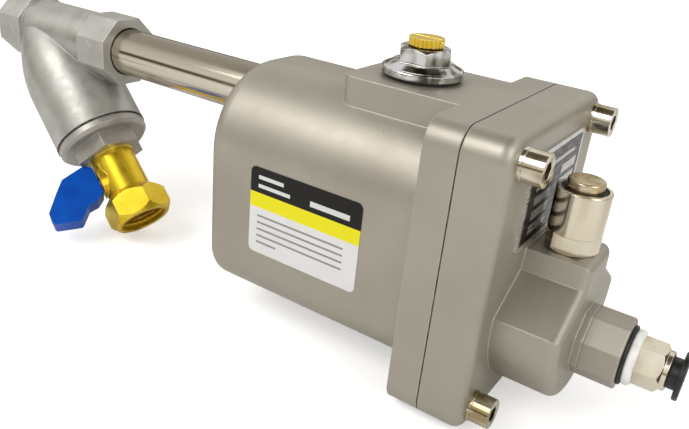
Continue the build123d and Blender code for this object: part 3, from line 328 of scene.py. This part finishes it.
cast_aluminium = finish("cast_aluminium", cast_grey, 0.65, 0.44)
cast_rim_highlight = rounded_edges_and_highlight_mask(cast_aluminium, 0.0007)
colour_by(cast_aluminium, mottle(cast_aluminium, 0.03, depth=2.0),
          (0.3, cast_dark), (0.5, cast_grey), (0.7, cast_light))
# Painted highlight: the rounded edges are painted a lighter grey.
paint_over(cast_aluminium, cast_rim_highlight, cast_edge_highlight)
pits(cast_aluminium, 0.0016, 0.02, (0.2, 0.18, 0.15))
rough_by(cast_aluminium, mottle(cast_aluminium, 0.01), 0.40, 0.46)
relief(cast_aluminium, mottle(cast_aluminium, 0.0005, depth=3.0), 0.00003)
relief(cast_aluminium, mottle(cast_aluminium, 0.014), 0.0001)
for node in ("housing", "cover", "outlet_adapter"):
    coat(node, cast_aluminium)

# ---------------------------------------------------------------- strainer and its cap
# Investment-cast stainless steel, glass-bead blasted to a silvery grey. The cap screws on over a fibre gasket
# and its hexagon is machined; the cap wears a darker copy of the stainless finish as painted shade.
strainer_grey = (0.44, 0.43, 0.395)
cast_stainless = finish("cast_stainless", strainer_grey, 0.7, 0.42)
strainer_rim_highlight = rounded_edges_and_highlight_mask(cast_stainless, 0.0006)
colour_by(cast_stainless, mottle(cast_stainless, 0.009, depth=4.0),
          (0.3, (0.385, 0.375, 0.34)), (0.5, strainer_grey), (0.7, (0.49, 0.48, 0.45)))
# Painted highlight: the edges are painted a paler grey.
paint_over(cast_stainless, strainer_rim_highlight, (0.70, 0.69, 0.66))
pits(cast_stainless, 0.0014, 0.03, (0.22, 0.21, 0.18))
rough_by(cast_stainless, mottle(cast_stainless, 0.004), 0.36, 0.46)
relief(cast_stainless, mottle(cast_stainless, 0.0007, depth=3.0), 0.00005)
relief(cast_stainless, mottle(cast_stainless, 0.008), 0.00015)
coat("strainer_body", cast_stainless)
# Painted shade: the cap is a darker copy of the strainer's finish. Its edges carry a painted highlight.
cap_shaded_stainless = finish("cap_shaded_stainless", (0.42, 0.40, 0.36), 0.7, 0.4)
cap_rim_highlight = rounded_edges_and_highlight_mask(cap_shaded_stainless, 0.0005)
colour_by(cap_shaded_stainless, mottle(cap_shaded_stainless, 0.006, depth=4.0),
          (0.3, (0.37, 0.35, 0.315)), (0.5, (0.42, 0.40, 0.36)), (0.7, (0.47, 0.45, 0.41)))
paint_over(cap_shaded_stainless, cap_rim_highlight, (0.62, 0.61, 0.58))
rough_by(cap_shaded_stainless, mottle(cap_shaded_stainless, 0.003), 0.34, 0.46)
relief(cap_shaded_stainless, mottle(cap_shaded_stainless, 0.0007, depth=3.0), 0.00004)
coat("strainer_cap", cap_shaded_stainless)

# ---------------------------------------------------------------- casting ticks
# Two short raised ticks stand on the strainer's front flats, one near each end. They are cast with the body and
# slope to nothing at both ends.
def ridge(name, sections, made):
    """A closed ridge through sections of four corners, which rides on the body."""
    shape = bmesh.new()
    before = None
    for corners in sections:
        section = [shape.verts.new(corner) for corner in corners]
        if before:
            for low, high in ((0, 1), (1, 2), (2, 3), (3, 0)):
                shape.faces.new((before[low], before[high], section[high], section[low]))
        else:
            shape.faces.new(section)
        before = section
    shape.faces.new(list(reversed(before)))
    bmesh.ops.recalc_face_normals(shape, faces=shape.faces)
    mesh = bpy.data.meshes.new(name)
    shape.to_mesh(mesh)
    shape.free()
    mesh.materials.append(made)
    piece = bpy.data.objects.new(name, mesh)
    bpy.context.scene.collection.objects.link(piece)
    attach(piece, "body")


tick_flat = -0.0143
tick_width = 0.0005
tick_rise = 0.0003
tick_root = Vector((0, 0.0001, 0))
tick_top_share = 0.4
tick_end_share = 0.35
for name, start, end in (("rear_tick", (0.0079, 0.0025), (0.0121, -0.0009)),
                         ("front_tick", (0.0641, 0.0044), (0.0679, 0.0021))):
    run = Vector((end[0] - start[0], 0.0, end[1] - start[1]))
    beside = run.cross(Vector((0.0, 1.0, 0.0))).normalized() * tick_width
    tick_sections = []
    for share in (0.0, 0.12, 0.5, 0.88, 1.0):
        swell = min(1.0, 8.0 * share * (1.0 - share))
        spine = Vector((start[0], tick_flat, start[1])) + run * share
        half = beside * (tick_end_share + (1.0 - tick_end_share) * swell)
        crest = Vector((0, tick_rise * swell, 0))
        tick_sections.append((spine - half + tick_root, spine - half * tick_top_share - crest,
                              spine + half * tick_top_share - crest, spine + half + tick_root))
    ridge(name, tick_sections, cast_stainless)

# ---------------------------------------------------------------- gaskets
# The strainer's and the cover's gaskets are cut from dark fibre-rubber sheet and show as thin black lines.
gasket_sheet = finish("gasket_sheet", (0.03, 0.028, 0.025), 0.0, 0.85)
colour_by(gasket_sheet, mottle(gasket_sheet, 0.0015), (0.4, (0.015, 0.015, 0.013)), (0.62, (0.07, 0.065, 0.06)))
relief(gasket_sheet, mottle(gasket_sheet, 0.0006), 0.0001)
for node in ("cap_gasket", "cover_gasket"):
    coat(node, gasket_sheet)

# ---------------------------------------------------------------- inlet pipe
# Drawn stainless tube, polished along its length, with faint draw marks. Its colour is painted reflection: warm
# pale and dark brown streaks along its length, and a dark brown painted reflection along its top.
polished_pipe = finish("polished_pipe", (0.62, 0.57, 0.48), 1.0, 0.2)
draw_marks_and_reflection_streaks = (60.0, 1.0, 1.0)
colour_by(polished_pipe, mottle(polished_pipe, 0.004, draw_marks_and_reflection_streaks, 2.0),
          (0.34, (0.26, 0.21, 0.14)), (0.45, (0.60, 0.55, 0.45)), (0.7, (0.78, 0.73, 0.64)))
# Painted reflection: the top of the tube is painted dark brown.
painted_top_reflection = range_of(polished_pipe, height_of(polished_pipe), 0.0, 0.8, 0.0025, 0.008)
paint_over(polished_pipe, painted_top_reflection, (0.17, 0.135, 0.09))
rough_by(polished_pipe, mottle(polished_pipe, 0.0015, draw_marks_and_reflection_streaks), 0.12, 0.28)
relief(polished_pipe, mottle(polished_pipe, 0.0008, draw_marks_and_reflection_streaks), 0.00001)
coat("inlet_pipe", polished_pipe)

# ---------------------------------------------------------------- brass pieces
# The ball valve is turned and milled from hexagon brass bar, with bright yellow machined faces. The bleed
# screw and the small inner seats are turned from the same bar.
brass_yellow = (0.80, 0.56, 0.03)
turned_brass = finish("turned_brass", brass_yellow, 0.85, 0.3)
brass_rim_highlight = rounded_edges_and_highlight_mask(turned_brass, 0.0005)
colour_by(turned_brass, mottle(turned_brass, 0.007, depth=2.0),
          (0.3, (0.74, 0.50, 0.02)), (0.5, brass_yellow), (0.7, (0.86, 0.63, 0.045)))
# Painted highlight: the edges are painted a pale bright yellow.
paint_over(turned_brass, brass_rim_highlight, (0.98, 0.85, 0.28))
rough_by(turned_brass, mottle(turned_brass, 0.004), 0.26, 0.33)
relief(turned_brass, mottle(turned_brass, 0.0006, depth=1.0), 0.000006)
for node in ("ball_valve_body", "bleed_screw", "seat_retainer", "pilot_nozzle", "main_seat"):
    coat(node, turned_brass)

# ---------------------------------------------------------------- threads of the two open ports
# G 1/2 threads, turned in the blow-down port's brass and in the strainer's inlet. Each is one V-shaped ridge
# that winds inwards from just behind the mouth and dies out at both ends.
thread_crest = 0.00105
thread_root = -0.00015
thread_pitch = 0.001814
crest_half = 0.07
root_half = 0.44
ring_steps = 48
fade_steps = 16


def port_thread(name, mouth, inwards, bore, length, made):
    """A helical ridge on the wall of a round port."""
    across = inwards.orthogonal().normalized()
    around_it = inwards.cross(across)
    steps = int((length / thread_pitch - 1.0) * ring_steps)
    sections = []
    for step in range(steps + 1):
        turn = 2.0 * math.pi * step / ring_steps
        along = thread_pitch * (0.75 + step / ring_steps)
        out_of_wall = across * math.cos(turn) + around_it * math.sin(turn)
        crest = thread_crest * min(1.0, step / fade_steps, (steps - step) / fade_steps)
        sections.append([mouth + inwards * (along + shift * thread_pitch) + out_of_wall * (bore - height)
                         for shift, height in ((-root_half, thread_root), (-crest_half, crest),
                                               (crest_half, crest), (root_half, thread_root))])
    ridge(name, sections, made)


port_bore = 0.0104775
leg_way = Vector((0.7443115, -0.1217028, -0.6566496))
port_thread("blowdown_thread", Vector((0.0970578, -0.0132048, -0.0712465)), -leg_way, port_bore, 0.0105,
            turned_brass)
port_thread("inlet_thread", Vector((0.0, 0.0, 0.0)), Vector((1.0, 0.0, 0.0)), port_bore, 0.0135,
            cast_stainless)

# ---------------------------------------------------------------- chrome plug and ball
# The top plug is a brass forging under bright chrome, and the valve's ball is chromed to turn in its seats.
bright_chrome = finish("bright_chrome", (0.50, 0.49, 0.47), 1.0, 0.1)
chrome_rim_highlight = rounded_edges_and_highlight_mask(bright_chrome, 0.0003)
# Painted reflection: dark and bright patches in the chrome's colour, and a near-white painted highlight along
# its edges.
colour_by(bright_chrome, mottle(bright_chrome, 0.005, (1.0, 1.0, 2.0), 1.0),
          (0.42, (0.13, 0.12, 0.10)), (0.5, (0.46, 0.45, 0.43)), (0.60, (0.64, 0.635, 0.625)))
paint_over(bright_chrome, chrome_rim_highlight, (0.92, 0.92, 0.91))
rough_by(bright_chrome, mottle(bright_chrome, 0.002), 0.05, 0.16)
relief(bright_chrome, mottle(bright_chrome, 0.004), 0.00004)
for node in ("top_plug", "valve_ball"):
    coat(node, bright_chrome)

# ---------------------------------------------------------------- valve handle
# A die-cast lever under baked blue enamel, held on the stem by one screw.
handle_enamel = finish("handle_enamel", (0.0, 0.075, 0.45), 0.0, 0.34)
enamel_rim_highlight = rounded_edges_and_highlight_mask(handle_enamel, 0.0006)
colour_by(handle_enamel, mottle(handle_enamel, 0.009),
          (0.3, (0.0, 0.062, 0.40)), (0.5, (0.0, 0.075, 0.45)), (0.7, (0.001, 0.09, 0.50)))
# Painted highlight: the edges are painted a lighter blue.
paint_over(handle_enamel, enamel_rim_highlight, (0.01, 0.16, 0.66))
relief(handle_enamel, mottle(handle_enamel, 0.002), 0.00003)
handle_enamel.node_tree.nodes["Principled BSDF"].inputs["Specular IOR Level"].default_value = 0.18
coat("valve_handle", handle_enamel)

# ---------------------------------------------------------------- screws, washers and pins
# Steel under a thin nickel-zinc plate. Golden and dark streaks in its colour are painted reflection, and its
# edges carry a painted highlight.
plated_steel = finish("plated_steel", (0.62, 0.55, 0.43), 1.0, 0.16)
plated_rim_highlight = rounded_edges_and_highlight_mask(plated_steel, 0.0003)
colour_by(plated_steel, mottle(plated_steel, 0.005, (3.0, 1.0, 1.0), 1.0),
          (0.36, (0.36, 0.28, 0.15)), (0.5, (0.68, 0.62, 0.50)), (0.66, (0.78, 0.73, 0.63)))
paint_over(plated_steel, plated_rim_highlight, (0.85, 0.81, 0.72))
rough_by(plated_steel, mottle(plated_steel, 0.003), 0.12, 0.2)
for node in ("cover_screws", "spring_washers", "handle_screw", "valve_stem", "bracket_screw", "pivot_pin",
             "cylinder_cap"):
    coat(node, plated_steel)

# ---------------------------------------------------------------- sheet and wire of stainless steel
# The strainer's perforated screen, both springs, the float lever with its bracket, the grab ring and the pin.
plain_stainless = finish("plain_stainless", (0.66, 0.65, 0.63), 1.0, 0.3)
colour_by(plain_stainless, mottle(plain_stainless, 0.003),
          (0.35, (0.50, 0.49, 0.47)), (0.65, (0.78, 0.77, 0.75)))
rough_by(plain_stainless, mottle(plain_stainless, 0.001), 0.22, 0.4)
for node in ("strainer_screen", "button_spring", "piston_spring", "float_lever", "lever_bracket", "grab_ring",
             "pilot_pin"):
    coat(node, plain_stainless)

# ---------------------------------------------------------------- springs
# The button's and the piston's coil springs are wound from stainless wire. Each is copied into a coil of its
# own on the body, and the part itself is hidden.
for node, joint, way, stroke in (("button_spring", "button_press", Vector((0, 0, 1)), 0.0016),
                                 ("piston_spring", "piston_open", Vector((1, 0, 0)), 0.004)):
    coil = bpy.data.objects.new(node + "_coil", nodes[node].data.copy())
    bpy.context.scene.collection.objects.link(coil)
    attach(coil, "body")
    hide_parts(node)
    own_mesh(coil)

# ---------------------------------------------------------------- nickel-plated valve and fitting
# The test valve's body, its button and the push-in fitting are turned brass under a pale, warm nickel plate.
pale_nickel = finish("pale_nickel", (0.74, 0.67, 0.53), 1.0, 0.2)
nickel_rim_highlight = rounded_edges_and_highlight_mask(pale_nickel, 0.0003)
colour_by(pale_nickel, mottle(pale_nickel, 0.008, (1.0, 1.0, 4.0), 1.0),
          (0.34, (0.62, 0.54, 0.40)), (0.5, (0.74, 0.67, 0.53)), (0.68, (0.80, 0.74, 0.61)))
# Painted highlight: the edges are painted a paler nickel.
paint_over(pale_nickel, nickel_rim_highlight, (0.90, 0.86, 0.76))
rough_by(pale_nickel, mottle(pale_nickel, 0.003), 0.16, 0.24)
for node in ("button_valve_body", "fitting_body"):
    coat(node, pale_nickel)
button_nickel = finish("button_nickel", (0.56, 0.46, 0.29), 1.0, 0.3)
button_rim_highlight = rounded_edges_and_highlight_mask(button_nickel, 0.0003)
colour_by(button_nickel, mottle(button_nickel, 0.004, depth=2.0),
          (0.35, (0.46, 0.36, 0.20)), (0.5, (0.56, 0.46, 0.29)), (0.66, (0.66, 0.57, 0.39)))
# Painted highlight: the button's edges are painted paler.
paint_over(button_nickel, button_rim_highlight, (0.86, 0.80, 0.66))
rough_by(button_nickel, mottle(button_nickel, 0.002), 0.26, 0.34)
coat("test_button", button_nickel)

# ---------------------------------------------------------------- seals
# Moulded black rubber rings, lips and disc.
black_rubber = finish("black_rubber", (0.015, 0.015, 0.015), 0.0, 0.55)
rough_by(black_rubber, mottle(black_rubber, 0.002), 0.45, 0.7)
relief(black_rubber, mottle(black_rubber, 0.0008), 0.00004)
for node in ("plug_ring", "adapter_ring", "tube_ring", "button_lip_seal", "piston_ring", "valve_disc"):
    coat(node, black_rubber)

# ---------------------------------------------------------------- white seats and packing
# The ball's seats, the stem's packing and the ring under the fitting are white PTFE.
white_ptfe = finish("white_ptfe", (0.86, 0.86, 0.83), 0.0, 0.4)
colour_by(white_ptfe, mottle(white_ptfe, 0.003), (0.35, (0.78, 0.78, 0.75)), (0.6, (0.90, 0.90, 0.87)))
relief(white_ptfe, mottle(white_ptfe, 0.0015), 0.00006)
for node in ("ball_seats", "stem_packing", "fitting_ring"):
    coat(node, white_ptfe)

# ---------------------------------------------------------------- release collar, piston and float
# The collar that frees the tube is black acetal. The drain piston is turned acetal, and the float is moulded.
black_acetal = finish("black_acetal", (0.012, 0.012, 0.013), 0.0, 0.38)
rounded_edges_and_highlight_mask(black_acetal, 0.0003)
rough_by(black_acetal, mottle(black_acetal, 0.002), 0.3, 0.5)
relief(black_acetal, mottle(black_acetal, 0.0007), 0.00003)
coat("release_collar", black_acetal)
float_shell = finish("float_shell", (0.78, 0.76, 0.70), 0.0, 0.5)
colour_by(float_shell, mottle(float_shell, 0.008), (0.35, (0.70, 0.68, 0.61)), (0.65, (0.84, 0.82, 0.77)))
relief(float_shell, mottle(float_shell, 0.0015), 0.00006)
for node in ("drain_piston", "float_ball"):
    coat(node, float_shell)

# ---------------------------------------------------------------- name plate
# Thin anodised sheet glued to the cover: a silver margin round a dark printed field with bare boxes, which
# carries no text. The boxes stand in two columns.
plate_low, plate_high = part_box("name_plate")
plate_sheet = finish("plate_sheet", (0.66, 0.65, 0.63), 0.9, 0.3)
colour_by(plate_sheet, mottle(plate_sheet, 0.003, (1.0, 6.0, 1.0)),
          (0.35, (0.60, 0.59, 0.57)), (0.65, (0.72, 0.71, 0.69)))
plate_margin = 0.0016
printed(plate_sheet, (0.035, 0.034, 0.032), y=(plate_low.y + plate_margin, plate_high.y - plate_margin),
        z=(plate_low.z + plate_margin, plate_high.z - plate_margin))
plate_grey = (0.55, 0.54, 0.52)
for column in (-0.0095, 0.0125):
    for row in range(4):
        box_z = plate_high.z - 0.0125 - row * 0.0048
        printed(plate_sheet, plate_grey, y=(column - 0.007, column + 0.007), z=(box_z, box_z + 0.0031))
printed(plate_sheet, plate_grey, y=(-0.016, 0.016), z=(plate_high.z - 0.0068, plate_high.z - 0.0055))
rough_by(plate_sheet, mottle(plate_sheet, 0.0008, (1.0, 8.0, 1.0)), 0.2, 0.4)
coat("name_plate", plate_sheet)

# ---------------------------------------------------------------- side label
# A printed vinyl label on the housing's side: a black band, a yellow band and an off-white field. Plain lines
# stand where the photo has print.
label_low, label_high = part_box("side_label")
label_film = finish("label_film", (0.76, 0.755, 0.75), 0.0, 0.35)
colour_by(label_film, mottle(label_film, 0.01), (0.35, (0.74, 0.735, 0.73)), (0.65, (0.78, 0.775, 0.77)))
black_ink = (0.012, 0.011, 0.01)
yellow_from = label_high.z - 0.0151
black_from = label_high.z - 0.0095
printed(label_film, black_ink, z=(black_from, label_high.z + 0.001))
printed(label_film, (0.84, 0.77, 0.012), z=(yellow_from, black_from))
for line in range(5):
    line_z = yellow_from - 0.0036 - line * 0.0026
    line_end = label_low.x + 0.0125 if line == 4 else label_high.x - 0.006
    printed(label_film, (0.30, 0.295, 0.29), x=(label_low.x + 0.0035, line_end), z=(line_z, line_z + 0.0008))
for line_z, line_end in ((label_high.z - 0.0042, 0.0145), (label_high.z - 0.0075, 0.0175)):
    printed(label_film, (0.70, 0.70, 0.69), x=(label_low.x + 0.0035, label_low.x + line_end),
            z=(line_z, line_z + 0.0014))
printed(label_film, (0.70, 0.70, 0.69), x=(label_low.x + 0.026, label_high.x - 0.0045),
        z=(label_high.z - 0.0075, label_high.z - 0.0055))
rough_by(label_film, mottle(label_film, 0.004), 0.3, 0.42)
label_film.node_tree.nodes["Principled BSDF"].inputs["Specular IOR Level"].default_value = 0.2
coat("side_label", label_film)
